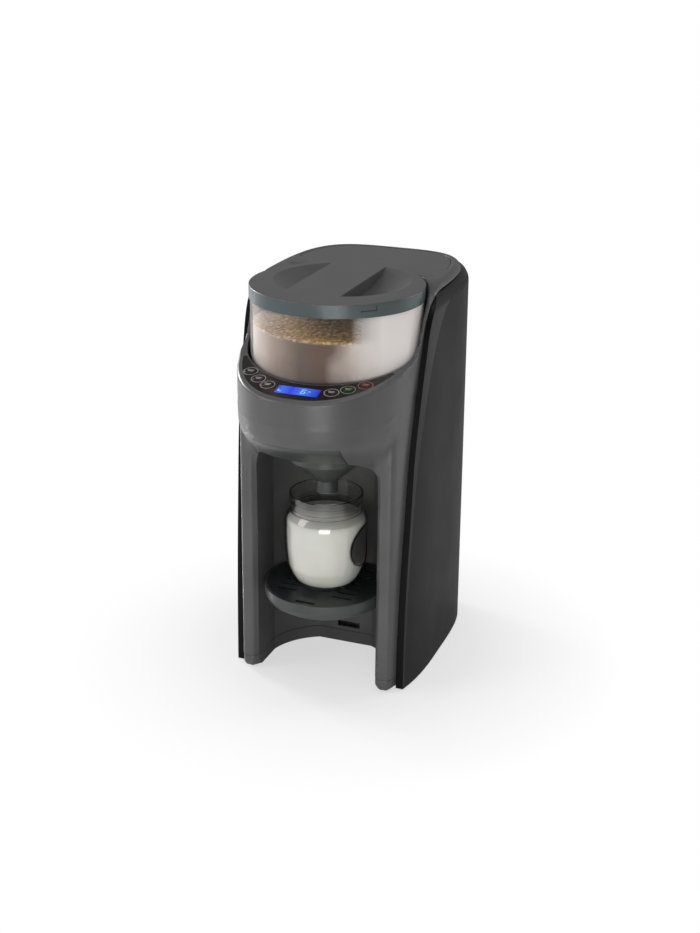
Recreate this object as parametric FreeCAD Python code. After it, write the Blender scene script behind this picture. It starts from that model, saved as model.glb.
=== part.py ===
import FreeCAD, Part
import math
import os
from FreeCAD import Placement, Rotation, Vector

# A countertop machine that mixes baby formula. It stands on z = 0 with its front towards -Y.
# A clear powder hopper sits in a cradle on its head, a funnel slides out under the head, and
# a bottle stands on a tray in the bay between two legs. All sizes are in millimetres.

# ---- overall form ---------------------------------------------------------------------------
BODY_HALF = 81.0          # half the width of the grey body, measured on its sides
BODY_FRONT = 135.0        # reach of the head ahead of the origin
BODY_REAR = 130.5         # reach of the grey top behind the origin
FRONT_POWER = 2.38        # how square the rounded front is: 2 is an ellipse
REAR_POWER = 3.6          # how square the rounded rear is
SKIN_POWER = 4.3          # how square the rear of the dark skins is
SKIN_PROUD = 4.5          # how far the dark skins stand out from the grey body
SKIN_FLARE = 2.0          # and how much further at the foot
SKIN_LOW = 2.0            # bottom edge of the side panels
SKIN_ROUND = 16.0         # radius of their rounding at the top
DECK_TOP = 356.5          # top of the grey deck
SKIN_TOP = DECK_TOP - 2.5       # top that the side panels are rounded towards
SEAM_TOP = DECK_TOP - 5.5       # level of the seam between the grey top and the dark rear
DECK_ROUND = 6.0          # radius of the deck's edge
BASE_SEAM = 13.6          # top of the base
BASE_LOW = 1.5            # underside of the base
WALL = 2.5                # wall of the moulded housings
GAP = 0.15                # gap at a seam between two housings

# ---- legs and the chin under the head -------------------------------------------------------
LEG_FRONT = 79.2          # reach of the legs ahead of the origin
LEG_DIP = 12.0            # how far the legs' noses round back on their inner side
CHIN_LOW = 180.0          # the legs are straight up to here
CHIN_HIGH = 262.0         # and the head is straight from here
CHIN_EDGE = 242.2         # level of the edge where the head's front turns under
CHIN_SLOPE = 1.23         # how far the chin falls back per millimetre below that edge
CHIN_BLEND = 6.0          # softness of that edge
LEG_BLEND = 5.0           # softness of the legs' noses

# ---- hopper well and control panel ----------------------------------------------------------
HOPPER_Y = -27.5          # axis of the hopper, lid and drive
HOPPER_R = 74.5
WELL_R = HOPPER_R + 2.7
WELL_WALL = 2.2
DECK_Z = 277.0            # underside of the plate that the hopper stands on
DECK_T = 3.0
PANEL_Y = -122.0          # a point on the sloping control panel
PANEL_Z = 286.3
PANEL_SLOPE = 0.21
PANEL_END = -71.0         # rear ends of the crescent-shaped lens
LENS_CORNER = 1.3         # and the radius of their corners
LENS_INSET = 4.5          # from the body's outline to the lens
LENS_R = WELL_R + 1.1     # inner edge of the lens
LENS_T = 2.0
TOP_WALL = 5.0            # thickness of the head's sloping top
BUTTON_R = 5.0
BUTTON_TRAVEL = 0.8
BUTTON_PLACES = [(18.3, 89.9), (27.1, 87.3), (37.2, 84.8)]   # angle from the front, radius

# ---- bay, tray, funnel and bottle -----------------------------------------------------------
BAY_Y = -50.8             # axis of the bay, tray, funnel and bottle
BAY_HALF = 56.5
BAY_TOP = 224.0
BAY_CORNER = 25.0
BAY_R = BAY_HALF + 1.5
BAY_BACK = BAY_Y + BAY_R - 6.2
BAY_WALL = 2.2
TRAY_R = BAY_HALF - 1.5
TRAY_TOP = 87.8
TRAY_LOW = 71.0
FUNNEL_HALF = 38.6
FUNNEL_R = 34.5
FUNNEL_NECK = 187.0
FUNNEL_BOWL = 208.0       # the cone under the funnel is a cylinder from here up
SPOUT_R = 10.3
SPOUT_TIP = 176.4
FUNNEL_TOP = 242.2
FUNNEL_REAR = -14.0
RIM_Z = 174.4             # bottle rim
BOTTLE_R = 37.2
NECK_R = 32.8
BOTTLE_WALL = 1.8
GRIP_DEPTH = 5.5          # hollow grip on the bottle's right side
GRIP_BEND = 39.0          # and the radius of its bend in height

# ---- hopper and lid -------------------------------------------------------------------------
HOPPER_WALL = 2.2
HOPPER_BASE_R = HOPPER_R + 1.5
NECK = 1.9                # how far the hopper's neck is set in under the lid
LID_R = HOPPER_R + 1.1
LID_TOP = 357.7
LID_RING_LOW = LID_TOP - 11.8
LID_PLATE = 1.2
LID_TURN = 20.0
WHEEL_R = 40.0

# ---- drive ----------------------------------------------------------------------------------
MODULE = 1.0
DRIVE_TEETH = 20
IDLER_TEETH = 24
PINION_TEETH = 12
GEAR_Z = 254.0
GEAR_T = 8.0
PIN_R = 2.0

# ---- water side -----------------------------------------------------------------------------
TANK_FRONT = 57.0
TANK_INSET = 10.5
SEAT_Z = 139.0            # floor of the seat that the tank's outlet stands in
TANK_LOW = SEAT_Z + 10.3
TANK_TOP = DECK_TOP - 5.9
TANK_WALL = 2.2
TANK_Y = 88.0             # axis of the tank's outlet and valve
PORT_R = 3.2
TUBE_BORE = PORT_R + 0.1
TUBE_R = TUBE_BORE + 2.0

CLEAR = 0.1               # gap between parts that only touch

os.makedirs("parts", exist_ok=True)


def save(name, shape, count=1):
    """Write one node, after checking that it holds the solids it should."""
    solids = shape.Solids
    if len(solids) != count or not shape.isValid():
        raise ValueError(name + " has " + str(len(solids)) + " solids")
    node = solids[0] if count == 1 else Part.makeCompound(solids)
    node.exportStep("parts/" + name + ".step")


# ---- simple shapes --------------------------------------------------------------------------
def box(x0, x1, y0, y1, z0, z1):
    return Part.makeBox(x1 - x0, y1 - y0, z1 - z0, Vector(x0, y0, z0))


def rod(x, y, z0, z1, radius):
    return Part.makeCylinder(radius, z1 - z0, Vector(x, y, z0))


def tube(x, y, z0, z1, outer, inner):
    return rod(x, y, z0, z1, outer).cut(rod(x, y, z0, z1, inner))


def cone(x, y, z0, z1, r0, r1):
    return Part.makeCone(r0, r1, z1 - z0, Vector(x, y, z0))


def mirrored(shape):
    return shape.mirror(Vector(0, 0, 0), Vector(1, 0, 0))


def union(shapes):
    joined = shapes[0].fuse(shapes[1:])
    return joined.removeSplitter()


def turned(shape, degrees, x=0.0, y=0.0):
    copy = shape.copy()
    copy.rotate(Vector(x, y, 0), Vector(0, 0, 1), degrees)
    return copy


def upright_edges(shape, keep):
    """The straight vertical edges of a prism for which keep(x, y) is true."""
    found = []
    for edge in shape.Edges:
        size = edge.BoundBox
        if size.XLength < 0.01 and size.YLength < 0.01 and keep(size.XMin, size.YMin):
            found.append(edge)
    return found


def side_prism(points, half):
    """A prism across X whose outline in the Y-Z plane runs through straight points."""
    corners = [Vector(-half, y, z) for y, z in points]
    face = Part.Face(Part.makePolygon(corners + corners[:1]))
    return face.extrude(Vector(2 * half, 0, 0))


# ---- outlines of the body -------------------------------------------------------------------
STEPS = 24                # points in a quarter of an outline


def ease(t):
    t = max(0.0, min(1.0, t))
    return t * t * (3 - 2 * t)


def ramp(t, blend):
    """0 below zero and t above, with a soft corner."""
    return (t + math.sqrt(t * t + blend * blend)) / 2


def chin_setback(x, reach, z):
    """How far the legs and chin stand back from the head's outline at height z."""
    if z >= CHIN_HIGH:
        return 0.0
    dip = LEG_DIP * (1 - ease((abs(x) - BAY_HALF + 6.5) / 12))
    leg = ramp(reach - LEG_FRONT + dip, LEG_BLEND)
    slope = ramp(CHIN_EDGE - z, CHIN_BLEND) - ramp(CHIN_EDGE - CHIN_HIGH, CHIN_BLEND)
    slope = max(CHIN_SLOPE * slope, 0.01)
    return (slope ** -4 + leg ** -4) ** -0.25


def quarter_turn(half, reach, power):
    """Half of a rounded outline, from x = -half to x = +half, as x and distance."""
    points = []
    for i in range(-STEPS, STEPS):
        angle = i / STEPS * math.pi / 2
        x = half * math.copysign(abs(math.sin(angle)) ** (2 / power), angle)
        points.append((x, reach * math.cos(angle) ** (2 / power)))
    return points


def outline(half, front, rear, power, z, inset, chin=False):
    """A closed outline at height z, moved in by inset, as a smooth wire of four edges."""
    points = []
    for x, reach in quarter_turn(half, front, FRONT_POWER):
        points.append((x, chin_setback(x, reach, z) - reach if chin and reach > 10 else -reach))
    for x, reach in quarter_turn(half, rear, power):
        points.append((-x, reach))
    count = len(points)
    moved = []
    for i in range(count):
        ax, ay = points[i - 1]
        bx, by = points[(i + 1) % count]
        length = math.hypot(bx - ax, by - ay)
        nx = (by - ay) / length
        ny = (ax - bx) / length
        moved.append(Vector(points[i][0] - nx * inset, points[i][1] - ny * inset, z))
    curve = Part.BSplineCurve()
    places = [i / count for i in range(count + 1)]
    curve.interpolate(Points=moved, PeriodicFlag=True, Parameters=places)
    return Part.Wire([curve.toShape(i / 4, (i + 1) / 4) for i in range(4)])


def body_outline(z, inset=0.0):
    return outline(BODY_HALF, BODY_FRONT, BODY_REAR, REAR_POWER, z, inset, chin=True)


def prism(wire, z0, z1):
    face = Part.Face(wire)
    face.translate(Vector(0, 0, z0 - wire.BoundBox.ZMin))
    return face.extrude(Vector(0, 0, z1 - z0))


def rounded_top(shape, z, radius):
    edges = [e for e in shape.Edges if abs(e.BoundBox.ZMin - z) < 0.01]
    return shape.makeFillet(radius, edges)


def body(inset, low, top, round_top):
    """The whole grey form as a solid: the skins of legs, chin and head sewn together."""
    legs = prism(body_outline(CHIN_LOW, inset), low, CHIN_LOW)
    rise = (CHIN_HIGH - CHIN_LOW) / 15
    sections = [body_outline(CHIN_LOW + rise * i, inset) for i in range(16)]
    chin = Part.makeLoft(sections, True, False)
    head = prism(body_outline(CHIN_HIGH, inset), CHIN_HIGH, top)
    faces = []
    for part in (legs, chin, rounded_top(head, top, round_top)):
        for face in part.Faces:
            size = face.BoundBox
            joint = min(abs(size.ZMin - CHIN_LOW), abs(size.ZMax - CHIN_HIGH)) < 0.01
            if not (joint and size.ZLength < 0.01):
                faces.append(face)
    skin_shell = Part.makeShell(faces)
    skin_shell.sewShape()
    return Part.makeSolid(skin_shell)


def skin(inset):
    """The form of the dark side panels and rear cover as a solid."""
    half = BODY_HALF + SKIN_PROUD
    front = BODY_FRONT + SKIN_PROUD
    rear = BODY_REAR + SKIN_PROUD
    low = outline(half + SKIN_FLARE, front, rear, SKIN_POWER, SKIN_LOW, inset)
    high = outline(half, front, rear, SKIN_POWER, SKIN_TOP - inset, inset)
    whole = Part.makeLoft([low, high], True, True)
    return rounded_top(whole, SKIN_TOP - inset, SKIN_ROUND - inset)


# ---- cutting lines seen from the side -------------------------------------------------------
SEAM_LINE = [(-67.5, -5), (-67, 48), (-65.4, 87), (-62.1, 134), (-58.2, 179), (-53.8, 225),
             (-47.2, 259), (-41.6, 284), (-36.9, 301), (-31.3, 320.6), (-24.5, 334),
             (-14, 344.5), (0, 350)]
TRIM_WIDTH = [(-5, 3.0), (130, 4.0), (179, 5.5), (225, 9.0), (259, 12.5), (284, 15.5),
              (301, 19.0), (313, 23.0)]
RIM_LINE = [(-62, 299), (-50, 302.3), (-41, 307.5), (-35.5, 316), (-30, 329), (-20, 342),
            (-6, 351.5), (14, 356), (27, 357.0)]


def trim_width(z):
    for (z0, w0), (z1, w1) in zip(TRIM_WIDTH, TRIM_WIDTH[1:]):
        if z <= z1:
            return w0 + (w1 - w0) * (z - z0) / (z1 - z0)
    return TRIM_WIDTH[-1][1]


def side_region(points, corners, shift_y=0.0, shift_z=0.0, half=120.0):
    """A prism across X bounded by a smooth line and then by straight corners."""
    line = [Vector(-half, y + shift_y, z + shift_z) for y, z in points]
    curve = Part.BSplineCurve()
    curve.interpolate(Points=line)
    ends = [line[-1]] + [Vector(-half, y, z) for y, z in corners] + [line[0]]
    wire = Part.Wire([curve.toShape()] + Part.makePolygon(ends).Edges)
    return Part.Face(wire).extrude(Vector(2 * half, 0, 0))


def ahead_of_seam():
    return side_region(SEAM_LINE, [(9, SEAM_TOP), (160, SEAM_TOP), (160, 380), (-160, 380),
                                   (-160, -5)])


def behind_seam():
    return side_region(SEAM_LINE, [(9 + GAP, SEAM_TOP - GAP), (160, SEAM_TOP - GAP), (160, -5)],
                       GAP, -GAP)


def behind_trim(shift):
    """Behind the gloss trim, which is widest near the top and fades towards the foot."""
    line = [(y + trim_width(z), z) for y, z in SEAM_LINE[:9]]
    line += [(-4.5, 320), (8, 331.5), (26, 340), (50, 344)]
    return side_region(line, [(160, 345), (160, -5)], shift, -shift)


def above_rim(down, back):
    """Everything above the head's sloping top and the rim that climbs beside the hopper."""
    front = [(-160, PANEL_Z + PANEL_SLOPE * (-160 - PANEL_Y))]
    corners = [(30, 400), (-160, 400)] + front
    return side_region(RIM_LINE, corners, back, -down)


# ---- control panel --------------------------------------------------------------------------
PANEL_TILT = math.degrees(math.atan(PANEL_SLOPE))
PANEL_COS = math.cos(math.radians(PANEL_TILT))


def on_panel(shape):
    """Place a shape made at the origin, with its top up +Z, on the sloping panel."""
    copy = shape.copy()
    turn = Rotation(Vector(1, 0, 0), PANEL_TILT)
    copy.Placement = Placement(Vector(0, PANEL_Y, PANEL_Z), turn).multiply(copy.Placement)
    return copy


def panel_slab(low, high):
    return on_panel(box(-110, 110, -60, 120, low, high))


def button_centres():
    """Button centres on the panel: x and the distance up the slope."""
    places = []
    for side in (-1, 1):
        for angle, radius in BUTTON_PLACES:
            x = side * radius * math.sin(math.radians(angle))
            y = HOPPER_Y - radius * math.cos(math.radians(angle))
            places.append((x, (y - PANEL_Y) / PANEL_COS))
    return places


def crescent(grow, low, high):
    """The lens's outline, grown or shrunk, between two depths below the panel."""
    outer = prism(body_outline(CHIN_HIGH, LENS_INSET - grow), 262, 322)
    inner = rod(0, HOPPER_Y, 262, 322, LENS_R - grow)
    blank = outer.cut(inner).cut(box(-120, 120, PANEL_END + grow, 200, 262, 322))
    ends = upright_edges(blank, lambda x, y: abs(y - PANEL_END - grow) < 0.1)
    return blank.makeFillet(LENS_CORNER + grow, ends).common(panel_slab(low, high))


def make_control_lens():
    lens = crescent(0, -LENS_T, 0)
    for x, v in button_centres():
        lens = lens.cut(on_panel(rod(x, v, -5, 5, BUTTON_R + 0.25)))
    return lens.cut(on_panel(box(-19, 19, -1, 12, -5, 5)))


def make_lcd_module():
    carrier = box(-22, 22, -2.5, 13.2, -5.4, -LENS_T - CLEAR)
    display = box(-18.8, 18.8, -0.8, 11.8, -LENS_T - CLEAR, -0.3)
    return on_panel(carrier.fuse(display).removeSplitter())


def make_button():
    cap = rod(0, 0, -LENS_T - CLEAR, 0.6, BUTTON_R)
    edge = [e for e in cap.Edges if abs(e.BoundBox.ZMin - 0.6) < 0.01]
    cap = cap.makeFillet(0.5, edge)
    return cap.fuse(rod(0, 0, -3.3, -LENS_T - CLEAR, BUTTON_R + 0.5)).removeSplitter()


def make_tact_switches():
    switches = []
    for x, v in button_centres():
        case = box(x - 3, x + 3, v - 3, v + 3, -5.4, -4.8)
        switches.append(on_panel(case.fuse(rod(x, v, -4.8, -3.3 - BUTTON_TRAVEL - CLEAR, 1.6))))
    return Part.makeCompound(switches)


def make_control_board():
    board = crescent(1.0, -7.0, -5.45)
    return board.cut(tube(0, HOPPER_Y, 262, 322, WELL_R + WELL_WALL + 0.3, WELL_R - 5))


# ---- grey housings --------------------------------------------------------------------------
def bay_void(grow, low):
    """The bay between the legs: arched from the front, rounded at the back in plan."""
    half = BAY_HALF + grow
    top = BAY_TOP + grow
    arch = box(-half, half, -150, BAY_BACK + grow, low, top)
    ridges = []
    for edge in arch.Edges:
        size = edge.BoundBox
        if size.YLength > 100 and size.ZMin > top - 0.1:
            ridges.append(edge)
    arch = arch.makeFillet(BAY_CORNER + grow, ridges)
    plan = box(-half, half, -150, BAY_Y, low, top).fuse(rod(0, BAY_Y, low, top, BAY_R + grow))
    return arch.common(plan)


def tank_opening(inset, front, low, high):
    """The outline of the tank and its lid: the deck's outline moved in, cut off in front."""
    blank = prism(body_outline(CHIN_HIGH, inset), low, high)
    blank = blank.cut(box(-120, 120, -200, front, low - 1, high + 1))
    corners = upright_edges(blank, lambda x, y: abs(y - front) < 0.1)
    return blank.makeFillet(6.0, corners)


def make_front_housing(form):
    inner = body(WALL, BASE_SEAM - 5, DECK_TOP - WALL, DECK_ROUND - WALL)
    inner = inner.cut(above_rim(TOP_WALL, WALL))
    shell = form.cut(inner)
    ledge_low = DECK_Z - 2.5
    well = tube(0, HOPPER_Y, ledge_low, DECK_TOP, WELL_R + WELL_WALL, WELL_R)
    well = well.fuse(tube(0, HOPPER_Y, ledge_low, DECK_Z, WELL_R + WELL_WALL, WELL_R - 4.2))
    shell = shell.fuse(well.common(form))
    shell = shell.cut(rod(0, HOPPER_Y, DECK_Z, DECK_TOP + 1, WELL_R))
    shell = shell.common(ahead_of_seam().fuse(rod(0, HOPPER_Y, ledge_low, 352, WELL_R + WELL_WALL)))
    shell = shell.cut(bay_void(BAY_WALL + CLEAR, 0))
    shell = shell.cut(box(-FUNNEL_HALF - 0.5, FUNNEL_HALF + 0.5, -150, -60, 200, FUNNEL_TOP + 0.2))
    shell = shell.cut(tank_opening(9.0, 55.5, SEAM_TOP - 5, DECK_TOP + 1))
    shell = shell.cut(crescent(0.15, -LENS_T - 0.05, 6))
    shell = shell.cut(crescent(-1.0, -12, 0))
    for x, v in button_centres():
        shell = shell.cut(on_panel(rod(x, v, -4, 2, BUTTON_R + 0.75)))
    for x, y in deck_screw_places():
        shell = shell.cut(rod(x, y, ledge_low - 1, DECK_Z + 1, 1.05))
    return shell.removeSplitter()


def make_bay_liner(form):
    walls = bay_void(BAY_WALL, BASE_SEAM + CLEAR).cut(bay_void(0, 0))
    for x, y in liner_screw_places():
        walls = walls.fuse(rod(x, y, BASE_SEAM + CLEAR, 28, 3.6).cut(bay_void(0, 0)))
    walls = walls.common(form)
    slot_half = FUNNEL_R + 0.6
    walls = walls.cut(box(-slot_half, slot_half, -150, BAY_Y, 215, 230))
    walls = walls.cut(rod(0, BAY_Y, 215, 230, slot_half))
    walls = walls.cut(box(-FUNNEL_HALF - 0.5, FUNNEL_HALF + 0.5, -150, -96.0, 215, 230))
    for z in TRAY_SLOTS:
        for x in (-15, 15):
            walls = walls.cut(box(x - 4, x + 4, BAY_BACK - 1, BAY_BACK + 5, z, z + 6))
    walls = walls.cut(box(-8, 14, BAY_BACK - 1, BAY_BACK + 5, 17, 23))
    for x, y in liner_screw_places():
        walls = walls.cut(rod(x, y, BASE_SEAM - 1, 25, 1.45))
    return walls.removeSplitter()


def make_base_plate():
    levels = [(BASE_LOW, 5.0), (2.6, 2.6), (4.4, 1.1), (7.0, 0.4), (BASE_SEAM - 3.0, 0.3),
              (BASE_SEAM - 1.1, 0.4), (BASE_SEAM, 1.0)]
    wires = []
    for z, inset in levels:
        wire = body_outline(CHIN_LOW, inset)
        wire.translate(Vector(0, 0, z - CHIN_LOW))
        wires.append(wire)
    base = Part.makeLoft(wires, True, False)
    hollow = prism(body_outline(CHIN_LOW, WALL + 2.5), 4.0, BASE_SEAM + 1)
    hollow = hollow.cut(bay_void(BAY_WALL, 0))
    for x, y in screw_places():
        hollow = hollow.cut(rod(x, y, 3, BASE_SEAM + 2, 4.2))
    base = base.cut(hollow).cut(bay_void(0, -1))
    for x, y in screw_places():
        base = base.cut(rod(x, y, 0, BASE_SEAM + 1, 1.6)).cut(rod(x, y, 0, 4.0, 3.1))
    for x, y in foot_places():
        base = base.cut(rod(x, y, 0, 3.2, 5.7))
    return base.removeSplitter()


def liner_screw_places():
    side = BAY_HALF + 5.5
    x = (BAY_R + 4.8) * math.cos(math.radians(43))
    y = BAY_Y + (BAY_R + 4.8) * math.sin(math.radians(43))
    return [(-side, -44), (side, -44), (-x, y), (x, y)]


def screw_places():
    side, rear = BODY_HALF - 9, BODY_REAR - 16
    return liner_screw_places() + [(-side, 30), (side, 30), (-52, rear), (52, rear)]


def foot_places():
    side = BAY_HALF + 7.5
    return [(-side, -58), (side, -58), (-62, 92), (62, 92)]


def make_rubber_feet():
    return Part.makeCompound([rod(x, y, 0, 3.1, 5.5) for x, y in foot_places()])


def make_base_screws():
    screws = []
    for x, y in screw_places():
        screws.append(rod(x, y, 2.2, 4.0, 2.8).fuse(rod(x, y, 4.0, 24, 1.4)))
    return Part.makeCompound(screws)


# ---- dark skins -----------------------------------------------------------------------------
PANEL_REAR = 96.0         # where the side panels end and the rear cover starts


def panel_lug(side):
    """A screw lug on the inside of a side panel, resting on the base's rim."""
    x0, x1 = sorted((side * (BODY_HALF - 15), side * (BODY_HALF + 4)))
    return box(x0, x1, 24, 36, BASE_SEAM + CLEAR, BASE_SEAM + 12)


def make_side_panel(shell, form, side):
    half = box(0, 150, -150, PANEL_REAR, -5, 400)
    if side < 0:
        half = mirrored(half)
    panel = shell.common(behind_trim(GAP)).common(half)
    lug = panel_lug(side).common(form)
    panel = panel.fuse(lug).cut(rod(side * (BODY_HALF - 9), 30, 0, 25, 1.45))
    return panel.removeSplitter()


def make_side_trim(form, grey, side):
    half = box(CLEAR, 150, -150, 200, -5, 400)
    if side < 0:
        half = mirrored(half)
    band = behind_seam().cut(behind_trim(0)).common(half)
    return form.common(band).cut(grey).removeSplitter()


def make_back_cover(shell, form):
    cover = shell.common(behind_trim(GAP)).common(box(-150, 150, PANEL_REAR + CLEAR, 200, -5, 400))
    for side in (-1, 1):
        x, y = side * 52, BODY_REAR - 16
        boss = rod(x, y, BASE_SEAM + CLEAR, 28, 3.6)
        rib = box(x - 1.2, x + 1.2, y + 1, y + 19, BASE_SEAM + CLEAR, 28)
        cover = cover.fuse(boss.fuse(rib).common(form)).cut(rod(x, y, 0, 25, 1.45))
    for row in range(5):
        z = 40 + 9 * row
        cover = cover.cut(box(-24, 24, BODY_REAR - 32, BODY_REAR + 20, z, z + 3.5))
    return cover.cut(gland_axis(7.1, -25, 15)).cut(gland_form(CLEAR)).removeSplitter()


def gland_axis(radius, y0, y1):
    """A rod along the cord's way out, between two places counted from the rear cover."""
    start = Vector(GLAND_X, BODY_REAR + SKIN_PROUD + y0, GLAND_Z)
    return Part.makeCylinder(radius, y1 - y0, start, Vector(0, 1, 0))


def gland_form(grow):
    """The gland without its bore: a neck in the cover's wall and a flange behind it."""
    flange = gland_axis(9.5 + grow, -11 - grow, -WALL - 2.2 + grow)
    return gland_axis(7.0 + grow, -11 - grow, -1 + grow).fuse(flange)


GLAND_X = 30.0
GLAND_Z = 26.0
GLAND_BORE = 3.6


def make_cord_gland():
    return gland_form(0).cut(gland_axis(GLAND_BORE, -15, 5)).removeSplitter()


# ---- hopper, dosing wheel and lid -----------------------------------------------------------
CHUTE_R = 7.0             # bore of the powder's way down
PEG_X = 55.0


def make_hopper_deck():
    top = DECK_Z + DECK_T
    deck = rod(0, HOPPER_Y, DECK_Z, top, WELL_R - 0.2)
    deck = deck.cut(rod(0, HOPPER_Y, DECK_Z - 1, top + 1, 9.0))
    deck = deck.cut(rod(0, BAY_Y, DECK_Z - 1, top + 1, CHUTE_R + 1.9))
    for x in (-PEG_X, PEG_X):
        deck = deck.fuse(rod(x, HOPPER_Y, top, top + 2, 3.0))
    for x, y in deck_screw_places():
        deck = deck.cut(rod(x, y, DECK_Z - 1, top + 1, 1.05)).cut(rod(x, y, top - 1.6, top + 1, 1.95))
    return deck.removeSplitter()


def deck_screw_places():
    places = []
    for angle in (40, 140, 220, 320):
        bearing = math.radians(angle)
        r = WELL_R - 2.1
        places.append((r * math.cos(bearing), HOPPER_Y + r * math.sin(bearing)))
    return places


def make_deck_screws():
    top = DECK_Z + DECK_T
    screws = []
    for x, y in deck_screw_places():
        screws.append(rod(x, y, top - 1.6, top - 0.1, 1.9).fuse(rod(x, y, DECK_Z - 2.2, top - 1.6, 1.0)))
    return Part.makeCompound(screws)


BASE_T = 5.5              # height of the hopper's base
FLOOR_Z = DECK_Z + DECK_T + CLEAR + BASE_T + CLEAR
FLOOR_R = HOPPER_R - HOPPER_WALL - CLEAR


def make_hopper_base():
    low = DECK_Z + DECK_T + CLEAR
    base = rod(0, HOPPER_Y, low, low + BASE_T, HOPPER_BASE_R)
    base = base.cut(rod(0, HOPPER_Y, low + 2, low + BASE_T + 1, FLOOR_R - 6.2))
    base = base.cut(rod(0, HOPPER_Y, low - 1, low + 3, 11.0))
    base = base.cut(rod(0, BAY_Y, low - 1, low + 3, CHUTE_R + 0.5))
    for x in (-PEG_X, PEG_X):
        base = base.cut(rod(x, HOPPER_Y, low - 1, low + 2.2, 3.3))
    return base.removeSplitter()


def make_hopper_floor():
    floor = rod(0, HOPPER_Y, FLOOR_Z, FLOOR_Z + 2, FLOOR_R)
    floor = floor.cut(rod(0, HOPPER_Y, FLOOR_Z - 1, FLOOR_Z + 3, 6.1))
    return floor.cut(rod(0, 2 * HOPPER_Y - BAY_Y, FLOOR_Z - 1, FLOOR_Z + 3, CHUTE_R + 0.5))


def make_dosing_wheel():
    low = DECK_Z + DECK_T + CLEAR + 2.3
    high = FLOOR_Z - 0.3
    wheel = rod(0, HOPPER_Y, low, high, WHEEL_R)
    reach = HOPPER_Y - BAY_Y
    for i in range(6):
        pocket = rod(0, BAY_Y, low - 1, high + 1, CHUTE_R)
        wheel = wheel.cut(turned(pocket, 60 * i + 30, 0, HOPPER_Y))
    wheel = wheel.fuse(rod(0, HOPPER_Y, high, FLOOR_Z + 8, 5.9))
    socket = box(-7.8, 7.8, HOPPER_Y - 2.3, HOPPER_Y + 2.3, low - 1, low + 3.0)
    if reach < CHUTE_R + 8:
        raise ValueError("the dosing pockets reach the socket")
    return wheel.cut(socket).removeSplitter()


def make_stirrer():
    low = FLOOR_Z + 2.3
    hub = tube(0, HOPPER_Y, low, low + 6, 9.0, 5.95)
    arms = []
    for i in range(3):
        arm = box(7, FLOOR_R - 10.2, HOPPER_Y - 2, HOPPER_Y + 2, low, low + 2.4)
        arm = arm.fuse(box(FLOOR_R - 16.2, FLOOR_R - 12.2, HOPPER_Y - 2, HOPPER_Y + 2, low, low + 16))
        arms.append(turned(arm, 120 * i + 15, 0, HOPPER_Y))
    return union([hub] + arms)


def make_hopper_body():
    low = FLOOR_Z
    neck_low = LID_RING_LOW - 2.5
    inner = HOPPER_R - HOPPER_WALL
    neck_r = HOPPER_R - NECK
    wall = tube(0, HOPPER_Y, low, neck_low + 2.2, HOPPER_R, inner)
    step = tube(0, HOPPER_Y, neck_low, neck_low + 2.2, HOPPER_R, neck_r - HOPPER_WALL)
    neck = tube(0, HOPPER_Y, neck_low, LID_TOP - 4.3, neck_r, neck_r - HOPPER_WALL)
    parts = [wall, step, neck]
    for i in range(3):
        ramp = tube(0, HOPPER_Y, LID_TOP - 7.5, LID_TOP - 6.0, neck_r + 0.7, neck_r - 0.5)
        parts.append(ramp.common(turned(wedge(18), 120 * i - 28, 0, HOPPER_Y)))
    return union(parts)


def wedge(degrees):
    """A sector about the hopper's axis that starts at +X and spans some degrees."""
    far = 2 * HOPPER_R
    low = LID_TOP - 15
    a = math.radians(degrees)
    corners = [Vector(0, HOPPER_Y, low), Vector(far, HOPPER_Y, low),
               Vector(far * math.cos(a), HOPPER_Y + far * math.sin(a), low)]
    face = Part.Face(Part.makePolygon(corners + corners[:1]))
    return face.extrude(Vector(0, 0, 15))


def make_lid_ring():
    high = LID_TOP - LID_PLATE - 0.1
    ring = tube(0, HOPPER_Y, LID_RING_LOW, high, LID_R, LID_R - 1.8)
    parts = [ring]
    for i in range(3):
        lug = tube(0, HOPPER_Y, LID_TOP - 10.5, LID_TOP - 8.1, LID_R - 1.7, HOPPER_R - NECK + 0.3)
        parts.append(lug.common(turned(wedge(8), 120 * i - 4, 0, HOPPER_Y)))
    return union(parts)


GRIP_LEFT = 30.5          # the lid's grip bar, from the axis to its left side
GRIP_RIGHT = 19.5         # and to its right side
SCOOP_DEPTH = 12.0        # the hollows are one dish with the bar standing across it
SCOOP_R = 60.0            # radius of the dish at the lid's top
SCOOP_BACK = 12.0         # and its centre behind the axis
SCOOP_BALL = (SCOOP_R ** 2 + SCOOP_DEPTH ** 2) / (2 * SCOOP_DEPTH)


def thumb_scoop(side, grow):
    """A hollow beside the grip bar: deep at the bar and running out towards the rim."""
    centre = Vector(0, HOPPER_Y + SCOOP_BACK, LID_TOP + SCOOP_BALL - SCOOP_DEPTH)
    edge = (GRIP_RIGHT if side > 0 else GRIP_LEFT) - grow
    low = LID_TOP - SCOOP_DEPTH - grow - 1
    cell = box(edge, 90, HOPPER_Y - 90, HOPPER_Y + 90, low, LID_TOP + 1)
    scoop = Part.makeSphere(SCOOP_BALL + grow, centre).common(cell)
    return scoop if side > 0 else mirrored(scoop)


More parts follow.
